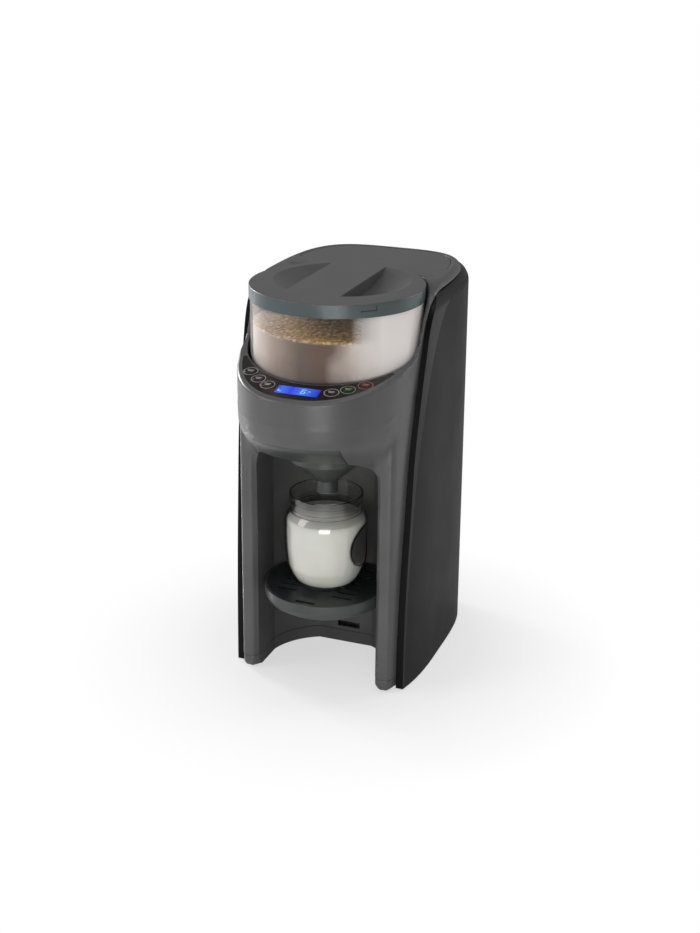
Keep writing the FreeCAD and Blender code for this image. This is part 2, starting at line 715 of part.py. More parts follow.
def make_lid_cap():
    plate_low = LID_TOP - LID_PLATE
    cap = rod(0, HOPPER_Y, plate_low, LID_TOP, LID_R)
    rim = [e for e in cap.Edges if abs(e.BoundBox.ZMin - LID_TOP) < 0.01]
    cap = cap.makeFillet(LID_PLATE - 0.2, rim)
    cap = cap.fuse(rod(0, HOPPER_Y, plate_low - 1.9, plate_low, LID_R - 2.0))
    for side in (-1, 1):
        under = rod(0, HOPPER_Y, plate_low - 16, plate_low, LID_R)
        cap = cap.fuse(thumb_scoop(side, 1.6).common(under))
    for side in (-1, 1):
        cap = cap.cut(thumb_scoop(side, 0))
    return cap.removeSplitter()


def make_lid_seal():
    return tube(0, HOPPER_Y, LID_TOP - 4.2, LID_TOP - LID_PLATE - 2.0, LID_R - 2.4, LID_R - 5.0)


# ---- gears and motor ------------------------------------------------------------------------
def gear(teeth, x, y, first_tooth, z0, z1, bore):
    """A spur gear with involute flanks; first_tooth is one tooth's bearing in degrees."""
    pitch_r = MODULE * teeth / 2
    pressure = math.radians(20)
    base_r = pitch_r * math.cos(pressure)
    tip_r = pitch_r + 0.85 * MODULE
    root_r = pitch_r - 1.2 * MODULE
    half_pitch = math.pi / (2 * teeth) - 0.09 / pitch_r
    spread = math.tan(pressure) - pressure
    points = []
    for i in range(teeth):
        middle = math.radians(first_tooth) + 2 * math.pi * i / teeth
        flank = []
        for k in range(6):
            r = max(base_r, root_r) + (tip_r - max(base_r, root_r)) * k / 5
            roll = math.acos(min(1.0, base_r / r))
            flank.append((r, half_pitch + spread - (math.tan(roll) - roll)))
        flank.insert(0, (root_r, flank[0][1] + 0.02))
        for r, angle in flank:
            points.append((r, middle - angle))
        for r, angle in reversed(flank):
            points.append((r, middle + angle))
    corners = [Vector(x + r * math.cos(a), y + r * math.sin(a), z0) for r, a in points]
    blank = Part.Face(Part.makePolygon(corners + corners[:1])).extrude(Vector(0, 0, z1 - z0))
    return blank.cut(rod(x, y, z0 - 1, z1 + 1, bore)) if bore > 0 else blank


IDLER_Y = HOPPER_Y + MODULE * (DRIVE_TEETH + IDLER_TEETH) / 2
MOTOR_Y = IDLER_Y + MODULE * (IDLER_TEETH + PINION_TEETH) / 2
RUN = 0.05                # radial clearance of a gear on its pin


def make_drive_gear():
    return gear(DRIVE_TEETH, 0, HOPPER_Y, 90, GEAR_Z, GEAR_Z + GEAR_T, PIN_R + RUN)


def make_idler_gear():
    half_tooth = 180.0 / IDLER_TEETH
    return gear(IDLER_TEETH, 0, IDLER_Y, 270 + half_tooth, GEAR_Z, GEAR_Z + GEAR_T, PIN_R + RUN)


def make_motor_pinion():
    half_tooth = 180.0 / PINION_TEETH
    idler_at_top = (90 - (270 + 180.0 / IDLER_TEETH)) % (360.0 / IDLER_TEETH)
    meets_gap = half_tooth - idler_at_top * IDLER_TEETH / PINION_TEETH
    pinion = gear(PINION_TEETH, 0, MOTOR_Y, 270 - meets_gap, GEAR_Z, GEAR_Z + GEAR_T, 0)
    return pinion.fuse(rod(0, MOTOR_Y, 244, GEAR_Z, PIN_R)).removeSplitter()


def make_drive_coupling():
    low = GEAR_Z + GEAR_T
    body_part = rod(0, HOPPER_Y, low, DECK_Z + DECK_T + 2.2, 7.5)
    body_part = body_part.fuse(box(-7.3, 7.3, HOPPER_Y - 1.8, HOPPER_Y + 1.8,
                                   DECK_Z, DECK_Z + DECK_T + 5.1))
    return body_part.cut(rod(0, HOPPER_Y, low - 1, low + 2, 2.4)).removeSplitter()


def make_gearbox_plate():
    plate_low = GEAR_Z - 4.0
    parts = [box(-17, 17, HOPPER_Y - 10.5, MOTOR_Y + 17.5, plate_low, plate_low + 2.4)]
    for x in (-13.5, 13.5):
        for y in (HOPPER_Y - 7.5, MOTOR_Y + 14.5):
            parts.append(rod(x, y, plate_low, DECK_Z, 2.5))
    for y in (HOPPER_Y, IDLER_Y):
        parts.append(rod(0, y, plate_low, GEAR_Z + GEAR_T + 0.5, PIN_R))
        parts.append(rod(0, y, plate_low, GEAR_Z - 0.2, 4.5))
    return union(parts).cut(rod(0, MOTOR_Y, plate_low - 1, GEAR_Z, 4.0))


def make_gear_motor():
    low = BAY_TOP + BAY_WALL + 2.0
    motor = rod(0, MOTOR_Y, low, GEAR_Z - 4.1, 14.0)
    return motor.cut(rod(0, MOTOR_Y, 243.5, GEAR_Z, PIN_R + RUN))


def make_powder_chute():
    low = FUNNEL_TOP + 3.0
    chute = tube(0, BAY_Y, low, DECK_Z + DECK_T, CHUTE_R + 1.8, CHUTE_R)
    chute = chute.fuse(tube(0, BAY_Y, DECK_Z - 2, DECK_Z, 12.0, CHUTE_R))
    arm = box(CHUTE_R + 1, NOZZLE_X - 5, BAY_Y - 3, BAY_Y + 3, low + 2, low + 5)
    ring = tube(NOZZLE_X, BAY_Y, low + 2, low + 5, 7.5, 5.1)
    return union([chute, arm.cut(rod(NOZZLE_X, BAY_Y, low, low + 6, 5.1)), ring])


# ---- funnel, tray and bottle ----------------------------------------------------------------
NOZZLE_X = 24.0


FUNNEL_LOW = BAY_TOP + 0.3


def set_back(shape, distance):
    copy = shape.copy()
    copy.translate(Vector(0, distance, 0))
    return copy


def make_funnel_front(form):
    """The part of the chin that slides out with the funnel."""
    block = box(-FUNNEL_HALF, FUNNEL_HALF, -150, -60, FUNNEL_LOW, FUNNEL_TOP)
    return form.common(block).cut(set_back(form, 3.6))


def bowl_form(neck_r, bowl_r, low, high):
    """A spout, a cone and a cylinder on one axis."""
    return union([rod(0, BAY_Y, low, FUNNEL_NECK, neck_r),
                  cone(0, BAY_Y, FUNNEL_NECK, FUNNEL_BOWL, neck_r, bowl_r),
                  rod(0, BAY_Y, FUNNEL_BOWL, high, bowl_r)])


def make_funnel_body(form):
    low = BAY_TOP + BAY_WALL + CLEAR
    high = FUNNEL_TOP - 2.0
    wall = 1.8
    tub = box(-FUNNEL_HALF, FUNNEL_HALF, -150, FUNNEL_REAR, low, high)
    room = box(wall - FUNNEL_HALF, FUNNEL_HALF - wall, -150, FUNNEL_REAR - wall, low + wall, high + 1)
    tub = tub.common(set_back(form, 3.6 + CLEAR)).cut(room.common(set_back(form, 6.0)))
    bowl = bowl_form(SPOUT_R, FUNNEL_R, SPOUT_TIP, low)
    inside = bowl_form(SPOUT_R - wall, FUNNEL_R - wall, SPOUT_TIP - 1, low + wall + 0.5)
    return tub.fuse(bowl).cut(inside).removeSplitter()


TRAY_SLOTS = [TRAY_LOW - 5 + 22 * i for i in (-1, 0, 1, 2)]


def make_tray_dish():
    rise = [(TRAY_LOW, TRAY_R - 9), (TRAY_LOW + 4, TRAY_R - 2.6), (TRAY_LOW + 9, TRAY_R)]
    dish = cone(0, BAY_Y, rise[0][0], rise[1][0], rise[0][1], rise[1][1])
    dish = dish.fuse(cone(0, BAY_Y, rise[1][0], rise[2][0], rise[1][1], rise[2][1]))
    dish = dish.fuse(rod(0, BAY_Y, rise[2][0], TRAY_TOP, TRAY_R))
    dish = dish.cut(rod(0, BAY_Y, TRAY_LOW + 6, TRAY_TOP + 1, TRAY_R - 4.5))
    dish = dish.cut(rod(0, BAY_Y, TRAY_TOP - 2.5, TRAY_TOP + 1, TRAY_R - 1.8))
    behind = box(-40, 40, BAY_BACK - 0.3, BAY_BACK + 20, TRAY_LOW - 1, TRAY_TOP + 1)
    back = box(-40, 40, BAY_BACK - 3.3, BAY_BACK - 0.3, TRAY_LOW + 3, TRAY_TOP)
    back = back.common(rod(0, BAY_Y, TRAY_LOW, TRAY_TOP, TRAY_R))
    return dish.cut(behind).fuse(back).removeSplitter()


def make_tray_grille():
    low = TRAY_TOP - 2.4
    grille = rod(0, BAY_Y, low, TRAY_TOP, TRAY_R - 2.0)
    for row in range(7):
        step = -28 + 10.2 * row
        reach = min(35.0, math.sqrt((TRAY_R - 8) ** 2 - step ** 2))
        for side in (-1, 1):
            x0, x1 = sorted((side * 17.0, side * reach))
            y = BAY_Y + step
            grille = grille.cut(box(x0, x1, y - 1.7, y + 1.7, low - 1, TRAY_TOP + 1))
    front = BAY_Y - TRAY_R + 7
    grille = grille.cut(box(-10, 8, front - 1.7, front + 1.7, low - 1, TRAY_TOP + 1))
    dimple = Part.makeSphere(24, Vector(-1, BAY_Y - 32, TRAY_TOP + 22.6))
    behind = box(-40, 40, BAY_BACK - 3.5, BAY_BACK + 20, low - 1, TRAY_TOP + 1)
    return grille.cut(dimple).cut(behind)


def make_tray_bracket():
    slot = TRAY_SLOTS[1]
    arm = box(-19, 19, BAY_Y + TRAY_R - 12, BAY_BACK - 0.4, TRAY_LOW - 9, TRAY_LOW - CLEAR)
    plate = box(-19, 19, BAY_BACK - 3.4, BAY_BACK - 0.4, TRAY_LOW - 9, TRAY_TOP + 8)
    plate = plate.cut(rod(0, BAY_Y, TRAY_LOW - 1, TRAY_TOP + 10, TRAY_R + CLEAR))
    parts = [arm, plate]
    for x in (-15, 15):
        parts.append(box(x - 3.5, x + 3.5, BAY_BACK - 1, BAY_BACK + 4.5, slot + 0.4, slot + 5.6))
    return union(parts)


def make_bottle():
    floor = TRAY_TOP + 0.1
    rim = RIM_Z
    wall = BOTTLE_WALL

    def contour(inset):
        r = BOTTLE_R - inset
        n = NECK_R - inset
        side = [(r * 0.62, floor + inset), (r * 0.82, floor + inset + 5.5),
                (r * 0.955, floor + inset + 20), (r, floor + 45), (r + 0.1, floor + 57)]
        curve = Part.BSplineCurve()
        curve.interpolate(Points=[Vector(a, 0, b) for a, b in side])
        top = rim + (1 if inset else 0)
        shoulder = Part.Arc(Vector(r + 0.1, 0, floor + 57), Vector(r - 1.0, 0, floor + 65),
                            Vector(n, 0, floor + 71))
        edges = [Part.makeLine(Vector(0, 0, floor + inset), Vector(r * 0.62, 0, floor + inset)),
                 curve.toShape(), shoulder.toShape(),
                 Part.makeLine(Vector(n, 0, floor + 71), Vector(n, 0, top)),
                 Part.makeLine(Vector(n, 0, top), Vector(0, 0, top)),
                 Part.makeLine(Vector(0, 0, top), Vector(0, 0, floor + inset))]
        solid = Part.Face(Part.Wire(edges)).revolve(Vector(0, 0, 0), Vector(0, 0, 1), 360)
        solid.translate(Vector(0, BAY_Y, 0))
        return solid

    def grip(grow):
        start = Vector(BOTTLE_R + GRIP_BEND - GRIP_DEPTH, BAY_Y - 60, floor + 40)
        return Part.makeCylinder(GRIP_BEND + grow, 120, start, Vector(0, 1, 0))

    outer = contour(0).cut(grip(0))
    for z in (floor + 73, floor + 79):
        outer = outer.fuse(rod(0, BAY_Y, z, z + 2.0, NECK_R + 0.6))
    return outer.cut(contour(wall).cut(grip(wall))).removeSplitter()


# ---- water tank and water path --------------------------------------------------------------
def make_tank_bay():
    high = DECK_TOP - WALL - CLEAR
    sleeve = tank_opening(7.0, 53.0, SEAT_Z + 7, high).cut(tank_opening(8.6, 54.6, SEAT_Z + 8.6, high + 1))
    seat = rod(0, TANK_Y, SEAT_Z - 3, SEAT_Z + 8, 15.0)
    nipple = rod(0, TANK_Y, SEAT_Z - 13, SEAT_Z, PORT_R)
    pin = rod(0, TANK_Y, SEAT_Z, SEAT_Z + 4, 1.6)
    bay = union([sleeve, seat, nipple])
    bay = bay.cut(rod(0, TANK_Y, SEAT_Z, SEAT_Z + 10, 11.5))
    bay = bay.cut(rod(0, TANK_Y + 0.0, SEAT_Z - 14, SEAT_Z + 1, 1.2))
    pin = pin.cut(rod(0, TANK_Y, SEAT_Z - 1, SEAT_Z + 5, 0.6))
    ring = tube(0, TANK_Y, SEAT_Z, SEAT_Z + 4, 2.6, 1.2)
    return bay.fuse(ring).removeSplitter()


def make_inlet_seal():
    return tube(0, TANK_Y, SEAT_Z + 3, SEAT_Z + 6, 11.4, 10.1)


def make_water_tank():
    outer = tank_opening(TANK_INSET, TANK_FRONT, TANK_LOW, TANK_TOP)
    inner = tank_opening(TANK_INSET + TANK_WALL, TANK_FRONT + TANK_WALL, TANK_LOW + 2.6, TANK_TOP + 1)
    tank = outer.cut(inner).fuse(rod(0, TANK_Y, SEAT_Z + 2, TANK_LOW + 2.6, 10.0))
    bar = box(-20, 20, TANK_FRONT + 0.5, TANK_FRONT + 13, TANK_TOP - 14, TANK_TOP - 11)
    tank = tank.fuse(bar)
    tank = tank.cut(rod(0, TANK_Y, SEAT_Z, TANK_LOW + 4, 6.5))
    return tank.removeSplitter()


def make_tank_lid():
    top = DECK_TOP - 0.2
    low = TANK_TOP + 0.2
    lid = tank_opening(9.35, 55.85, low, top)
    edge = [e for e in lid.Edges if abs(e.BoundBox.ZMin - top) < 0.01]
    return lid.makeFillet(0.8, edge).cut(tank_opening(11.6, 58.1, low - 1, top - 1.8))


def make_tank_valve():
    low = SEAT_Z + 4.1
    disc = rod(0, TANK_Y, TANK_LOW + 4.1, TANK_LOW + 6.1, 9.0)
    stem = rod(0, TANK_Y, low, TANK_LOW + 4.1, 2.2)
    return union([disc, stem, rod(0, TANK_Y, TANK_LOW + 6.1, TANK_LOW + 12, 2.2)])


def make_valve_spring():
    low = TANK_LOW + 6.3
    helix = Part.makeHelix(1.9, 7.6, 5.0)
    wire = Part.Wire(helix.Edges)
    section = Part.Wire([Part.makeCircle(0.45, Vector(5.0, 0, 0), Vector(0, 1, 0.06))])
    coil = wire.makePipeShell([section], True, True)
    coil.translate(Vector(0, TANK_Y, low + 0.5))
    return coil


def make_valve_cage():
    floor = TANK_LOW + 2.6
    cage = tube(0, TANK_Y, floor, floor + 15, 12.5, 10.7)
    for angle in (0, 60, 120):
        window = box(-20, 20, TANK_Y - 3.4, TANK_Y + 3.4, floor - 1, floor + 10)
        cage = cage.cut(turned(window, angle, 0, TANK_Y))
    cap = tube(0, TANK_Y, floor + 13, floor + 15, 12.5, 2.4)
    return cage.fuse(cap).removeSplitter()


PLATE_Y = 24.0


def make_chassis_plate():
    plate = box(-64, 64, PLATE_Y, PLATE_Y + WALL, 4.1, SEAT_Z + 4)
    parts = [plate]
    for x in (-50, 10):
        for z in (40, 110):
            parts.append(Part.makeCylinder(3.0, 5, Vector(x, PLATE_Y - 5, z), Vector(0, 1, 0)))
    return union(parts)


def make_main_board():
    board = box(-56, 16, PLATE_Y - 6.7, PLATE_Y - 5.1, 34, 116)
    relay = box(-48, -30, PLATE_Y - 19, PLATE_Y - 6.7, 60, 76)
    can = Part.makeCylinder(6, 12, Vector(-10, PLATE_Y - 18.7, 90), Vector(0, 1, 0))
    return union([board, relay, can])


PUMP_HALF = 20.0
PUMP_TOP = 40.0
HEATER_Y = 42.0


def make_pump():
    head = box(-PUMP_HALF, PUMP_HALF, 70, 106, 4.1, PUMP_TOP)
    motor = Part.makeCylinder(13, 42, Vector(-62, TANK_Y, 20), Vector(1, 0, 0))
    ports = [rod(0, TANK_Y, PUMP_TOP, PUMP_TOP + 8, PORT_R), rod(14, 78, PUMP_TOP, PUMP_TOP + 8, PORT_R)]
    return union([head, motor] + ports)


def make_heater_block():
    block = box(6, 62, PLATE_Y + WALL + CLEAR, 57, 72, 124)
    ports = [rod(14, HEATER_Y, 62, 72, PORT_R), rod(NOZZLE_X, HEATER_Y, 124, 132, PORT_R)]
    return union([block] + ports)


def hose(points, bend):
    """A hose along straight runs in a plane of constant x, with round bends."""
    def path(radius):
        runs = []
        arcs = []
        start = points[0]
        for i in range(1, len(points) - 1):
            corner = points[i]
            before = (corner - points[i - 1]).normalize()
            after = (points[i + 1] - corner).normalize()
            enter = corner - before * bend
            leave = corner + after * bend
            centre = corner - before * bend + after * bend
            middle = centre + (corner - centre).normalize() * bend
            runs.append(Part.makeLine(start, enter))
            arcs.append(Part.Arc(enter, middle, leave).toShape())
            start = leave
        runs.append(Part.makeLine(start, points[-1]))
        edges = [runs[0]]
        for arc, run in zip(arcs, runs[1:]):
            edges += [arc, run]
        spine = Part.Wire(edges)
        direction = points[1] - points[0]
        section = Part.Wire([Part.makeCircle(radius, points[0], direction)])
        return spine.makePipeShell([section], True, True)
    return path(TUBE_R).cut(path(TUBE_BORE))


def make_inlet_hose():
    return tube(0, TANK_Y, PUMP_TOP + 1.5, SEAT_Z - 4, TUBE_R, TUBE_BORE)


def make_pump_hose():
    x = 14.0
    return hose([Vector(x, 78, PUMP_TOP + 1), Vector(x, 78, 56), Vector(x, HEATER_Y, 56),
                 Vector(x, HEATER_Y, 70)], 8.0)


def make_outlet_hose():
    x = NOZZLE_X
    return hose([Vector(x, HEATER_Y, 125), Vector(x, HEATER_Y, 266), Vector(x, BAY_Y, 266),
                 Vector(x, BAY_Y, 253.5)], 10.0)


def make_outlet_nozzle():
    low = FUNNEL_TOP + 3.0
    nozzle = union([cone(NOZZLE_X, BAY_Y, low - 1.5, low, 2.5, 4.9), rod(NOZZLE_X, BAY_Y, low, low + 5.1, 4.9),
                    rod(NOZZLE_X, BAY_Y, low + 5.1, low + 7, 7.0),
                    rod(NOZZLE_X, BAY_Y, low + 7, low + 10.5, PORT_R)])
    return nozzle.cut(rod(NOZZLE_X, BAY_Y, low - 3, low + 20, 1.3))


def make_funnel_switch():
    case = box(44, 52, -40, -20, BAY_TOP + BAY_WALL + CLEAR, BAY_TOP + BAY_WALL + 12)
    lever = box(FUNNEL_HALF + 0.5, 44, -36, -33, BAY_TOP + BAY_WALL + 6, BAY_TOP + BAY_WALL + 8)
    return case.fuse(lever).removeSplitter()


# ---- build ----------------------------------------------------------------------------------
grey_form = body(0, BASE_SEAM + CLEAR, DECK_TOP, DECK_ROUND)
grey_whole = body(0, 0, DECK_TOP, DECK_ROUND)
rimmed_form = grey_form.cut(above_rim(0, 0))
dark_form = skin(0)
dark_shell = dark_form.cut(skin(WALL))

save("front_housing", make_front_housing(rimmed_form))
save("bay_liner", make_bay_liner(rimmed_form))
save("base_plate", make_base_plate())
save("rubber_feet", make_rubber_feet(), 4)
save("base_screws", make_base_screws(), 8)
for side, word in ((-1, "left"), (1, "right")):
    save("side_panel_" + word, make_side_panel(dark_shell, dark_form, side))
    save("side_trim_" + word, make_side_trim(dark_form, grey_whole, side))
save("back_cover", make_back_cover(dark_shell, dark_form))
save("cord_gland", make_cord_gland())
save("control_lens", make_control_lens())
save("lcd_module", make_lcd_module())
save("control_board", make_control_board())
save("tact_switches", make_tact_switches(), 6)
for number, (x, v) in enumerate(button_centres()):
    side = "left" if number < 3 else "right"
    button = make_button()
    button.translate(Vector(x, v, 0))
    save("button_" + side + "_" + str(number % 3 + 1), on_panel(button))
save("hopper_deck", make_hopper_deck())
save("deck_screws", make_deck_screws(), 4)
save("powder_chute", make_powder_chute())
save("gearbox_plate", make_gearbox_plate())
save("gear_motor", make_gear_motor())
save("motor_pinion", make_motor_pinion())
save("idler_gear", make_idler_gear())
save("drive_gear", make_drive_gear())
save("drive_coupling", make_drive_coupling())
save("hopper_base", make_hopper_base())
save("hopper_floor", make_hopper_floor())
save("hopper_body", make_hopper_body())
save("dosing_wheel", make_dosing_wheel())
save("stirrer", make_stirrer())
save("lid_ring", make_lid_ring())
save("lid_cap", make_lid_cap())
save("lid_seal", make_lid_seal())
save("funnel_front", make_funnel_front(grey_whole))
save("funnel_body", make_funnel_body(grey_whole))
save("tray_dish", make_tray_dish())
save("tray_grille", make_tray_grille())
save("tray_bracket", make_tray_bracket())
save("bottle", make_bottle())
save("tank_bay", make_tank_bay())
save("inlet_seal", make_inlet_seal())
save("water_tank", make_water_tank())
save("tank_lid", make_tank_lid())
save("tank_valve", make_tank_valve())
save("valve_cage", make_valve_cage())
save("valve_spring", make_valve_spring())
save("chassis_plate", make_chassis_plate())
save("main_board", make_main_board())
save("pump", make_pump())
save("heater_block", make_heater_block())
save("inlet_hose", make_inlet_hose())
save("pump_hose", make_pump_hose())
save("outlet_hose", make_outlet_hose())
save("outlet_nozzle", make_outlet_nozzle())
save("funnel_switch", make_funnel_switch())
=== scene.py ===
import math

import bmesh
import bpy
from mathutils import Matrix, Vector


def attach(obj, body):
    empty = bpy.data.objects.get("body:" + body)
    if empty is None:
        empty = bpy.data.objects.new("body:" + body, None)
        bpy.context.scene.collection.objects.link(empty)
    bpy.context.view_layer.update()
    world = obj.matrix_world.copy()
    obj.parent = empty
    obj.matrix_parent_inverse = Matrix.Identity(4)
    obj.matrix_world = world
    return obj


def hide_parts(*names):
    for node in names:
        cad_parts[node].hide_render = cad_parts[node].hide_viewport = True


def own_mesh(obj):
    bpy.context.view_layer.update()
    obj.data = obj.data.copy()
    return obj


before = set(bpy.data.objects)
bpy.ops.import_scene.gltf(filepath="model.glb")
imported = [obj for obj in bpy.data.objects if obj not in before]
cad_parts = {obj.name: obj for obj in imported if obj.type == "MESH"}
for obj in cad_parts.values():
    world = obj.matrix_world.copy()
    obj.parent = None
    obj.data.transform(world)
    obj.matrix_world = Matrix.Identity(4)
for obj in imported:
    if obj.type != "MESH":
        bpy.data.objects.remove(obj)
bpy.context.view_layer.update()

MM = 0.001
WELD = 0.000002           # points of a node's mesh closer than this are one
HOPPER_Y, BAY_Y = -27.5, -50.8
HOPPER, BAY = Vector((0, HOPPER_Y, 0)) * MM, Vector((0, BAY_Y, 0)) * MM
HOPPER_R = 75             # about the radius of the hopper, for the painted light that runs across the powder


# ---- colours and nodes ----------------------------------------------------------------------
def linear(hex_colour):
    """sRGB hex to the linear colour that Blender works in."""
    channels = [int(hex_colour[i:i + 2], 16) / 255 for i in (1, 3, 5)]
    flat = [c / 12.92 if c <= 0.04045 else ((c + 0.055) / 1.055) ** 2.4 for c in channels]
    return (*flat, 1.0)


def add(tree, kind, settings=None, **links):
    """One node, with its settings by socket or attribute name and its links by socket name."""
    node = tree.nodes.new("ShaderNode" + kind)
    for name, value in (settings or {}).items():
        if isinstance(value, str) and value.startswith("#"):
            value = linear(value)
        if hasattr(node, name):
            setattr(node, name, value)
        else:
            node.inputs[int(name) if name.isdigit() else name].default_value = value
    for name, source in links.items():
        key = name.replace("_", " ")
        numbered = key[0] == "i" and key[1:].isdigit()
        tree.links.new(source, node.inputs[int(key[1:]) if numbered else key])
    return node


def material(name):
    """An empty material with its tree, its output and its place coordinates."""
    made = bpy.data.materials.new(name)
    made.use_nodes = True
    tree = made.node_tree
    tree.nodes.clear()
    out = add(tree, "OutputMaterial")
    place = add(tree, "TexCoord").outputs["Object"]
    return made, tree, out, place


def ramp(tree, factor, stops):
    node = add(tree, "ValToRGB", Fac=factor)
    points = node.color_ramp.elements
    while len(points) < len(stops):
        points.new(0.5)
    for point, (place, hex_colour) in zip(points, stops):
        point.position = place
        point.color = linear(hex_colour)
    return node.outputs["Color"]


def moulded(name, dark, light, roughness, grain_mm=0.6, height_mm=0.01, seam_mm=None, **sockets):
    """A moulded plastic: a faint cloud in its colour and roughness, and a fine spark texture.
    A seam's edge, at a height in millimetres, is painted dark for 0.6 mm: a painted shadow of the
    seam."""
    made, tree, out, place = material(name)
    cloud = add(tree, "TexNoise", {"Scale": 1 / (38 * MM), "Detail": 3.0}, Vector=place)
    colour = ramp(tree, cloud.outputs["Fac"], [(0.35, dark), (0.65, light)])
    if seam_mm is not None:
        height = add(tree, "SeparateXYZ", Vector=place).outputs["Z"]
        # Painted shadow: the plastic within 0.6 mm below the seam's height is painted near black.
        painted_seam_shadow = add(tree, "Math", {"operation": "GREATER_THAN", "1": (seam_mm - 0.6) * MM},
                     i0=height)
        colour = add(tree, "Mix", {"data_type": "RGBA", "7": "#0c0c0c"}, i0=painted_seam_shadow.outputs[0],
                     i6=colour).outputs[2]
    rough = add(tree, "MapRange", {"From Min": 0.3, "From Max": 0.7, "To Min": roughness - 0.03,
                                   "To Max": roughness + 0.03}, Value=cloud.outputs["Fac"])
    grain = add(tree, "TexNoise", {"Scale": 1 / (grain_mm * MM), "Detail": 2.0}, Vector=place)
    bump = add(tree, "Bump", {"Strength": 0.35, "Distance": height_mm * MM},
               Height=grain.outputs["Fac"])
    shader = add(tree, "BsdfPrincipled", {"IOR": 1.5, **sockets}, Base_Color=colour,
                 Roughness=rough.outputs["Result"], Normal=bump.outputs["Normal"])
    tree.links.new(shader.outputs["BSDF"], out.inputs["Surface"])
    return made


def flow_marks(tree, place):
    """The faint waves of a clear moulding, as a normal."""
    flow = add(tree, "TexNoise", {"Scale": 1 / (22 * MM), "Detail": 1.0}, Vector=place)
    bump = add(tree, "Bump", {"Strength": 0.08, "Distance": 0.2 * MM}, Height=flow.outputs["Fac"])
    return bump.outputs["Normal"]


def clear(name, tint, body, edge, roughness, painted_light_from=1000.0, painted_light_fade=22):
    """A clear moulding: nearly invisible face on, and glossy where it turns away. Beyond a place
    along X, in millimetres, it is painted with a pale veil: painted light on that side."""
    made, tree, out, place = material(name)
    facing = add(tree, "LayerWeight", {"Blend": 0.35})
    bare = add(tree, "MapRange", {"From Min": 0.0, "From Max": 1.0, "To Min": body,
                                  "To Max": edge}, Value=facing.outputs["Facing"])
    parts = add(tree, "SeparateXYZ", Vector=place)
    # Painted light: beyond that place the moulding turns to a pale, nearly opaque veil.
    dust = add(tree, "MapRange", {"From Min": painted_light_from * MM, "To Max": 0.7,
                                  "From Max": (painted_light_from + painted_light_fade) * MM},
               Value=parts.outputs["X"])
    alpha = add(tree, "Math", {"operation": "MAXIMUM"}, i0=bare.outputs["Result"],
                i1=dust.outputs["Result"])
    shader = add(tree, "BsdfPrincipled", {"Base Color": tint, "IOR": 1.49, "Roughness": roughness},
                 Alpha=alpha.outputs[0], Normal=flow_marks(tree, place))
    tree.links.new(shader.outputs["BSDF"], out.inputs["Surface"])
    return made


def clear_moulding(name, tint, roughness):
    """Clear plastic that bends and mirrors what is behind it, and lets the lamps through."""
    made, tree, out, place = material(name)
    solid = add(tree, "BsdfPrincipled", {"Base Color": tint, "IOR": 1.49, "Roughness": roughness,
                                         "Transmission Weight": 1.0},
                Normal=flow_marks(tree, place))
    passing = add(tree, "BsdfTransparent", {"Color": tint})
    lamps = add(tree, "LightPath")
    both = add(tree, "MixShader", Fac=lamps.outputs["Is Shadow Ray"], i1=solid.outputs["BSDF"],
               i2=passing.outputs["BSDF"])
    tree.links.new(both.outputs[0], out.inputs["Surface"])
    return made


# ---- materials ------------------------------------------------------------------------------
# ABS moulded with a light spark texture: a soft, wide highlight.
grey_abs = moulded("moulded_grey_abs", "#494949", "#4f4f4f", 0.38)
# The base is the same plastic. Its top edge, under the housings' seam, is painted dark: a painted
# shadow.
grey_base = moulded("moulded_grey_base", "#494949", "#4f4f4f", 0.38, seam_mm=13.6)
# The tray is the same plastic, painted a shade darker: painted shade, low in the bay.
grey_tray = moulded("moulded_grey_tray", "#3a3b3b", "#404141", 0.4)
# The side skins are the same plastic, nearly black, with a coarser and duller texture.
charcoal_abs = moulded("moulded_charcoal_abs", "#121212", "#171716", 0.5, 0.8, 0.015,
                       **{"Specular IOR Level": 0.13})
# Black trim: a satin mould, deep black with only a thin sheen along its edge.
black_trim = moulded("satin_black_abs", "#050505", "#080808", 0.32, 5.0, 0.004,
                     **{"Specular IOR Level": 0.15})
# Tinted acrylic over the display, polished on both sides.
black_acrylic = moulded("polished_black_acrylic", "#0c0706", "#1a0d08", 0.1, 6.0, 0.004,
                        **{"Specular IOR Level": 0.3})
# Button caps are the acrylic's colour, a little worn by fingers.
cap_black = moulded("satin_black_cap", "#141112", "#1a1617", 0.22, 1.5, 0.006,
                    **{"Specular IOR Level": 0.3})
# Smoky polycarbonate of the lid's ring: half clear, bluish grey.
smoky_polycarbonate = moulded("smoky_polycarbonate", "#4b5657", "#556162", 0.24, 4.0, 0.004,
                              **{"Transmission Weight": 0.2, "Specular IOR Level": 0.3})
# The funnel is a paler, duller smoky plastic.
smoky_funnel = moulded("smoky_funnel_plastic", "#363837", "#3f4140", 0.3, 1.2, 0.008,
                       **{"Transmission Weight": 0.1})
# The drip grille is blue-black polypropylene with a fine texture.
grille_black = moulded("moulded_blue_black", "#1b1e20", "#222628", 0.34, 0.7, 0.012)
rubber = moulded("moulded_rubber", "#161616", "#1e1e1e", 0.75, 0.9, 0.03)
natural_plastic = moulded("natural_acetal", "#cfcfca", "#dcdcd6", 0.35)
silicone = moulded("translucent_silicone", "#c4c4be", "#d2d2cc", 0.3, 2.0, 0.01,
                   **{"Subsurface Weight": 0.2})
steel = moulded("zinc_plated_steel", "#a3a5a8", "#b2b4b6", 0.28, 1.0, 0.01, **{"Metallic": 1.0})
aluminium = moulded("cast_aluminium", "#b4b6b8", "#c2c4c6", 0.4, 1.0, 0.03, **{"Metallic": 1.0})
solder_mask = moulded("green_solder_mask", "#12401f", "#195228", 0.3)
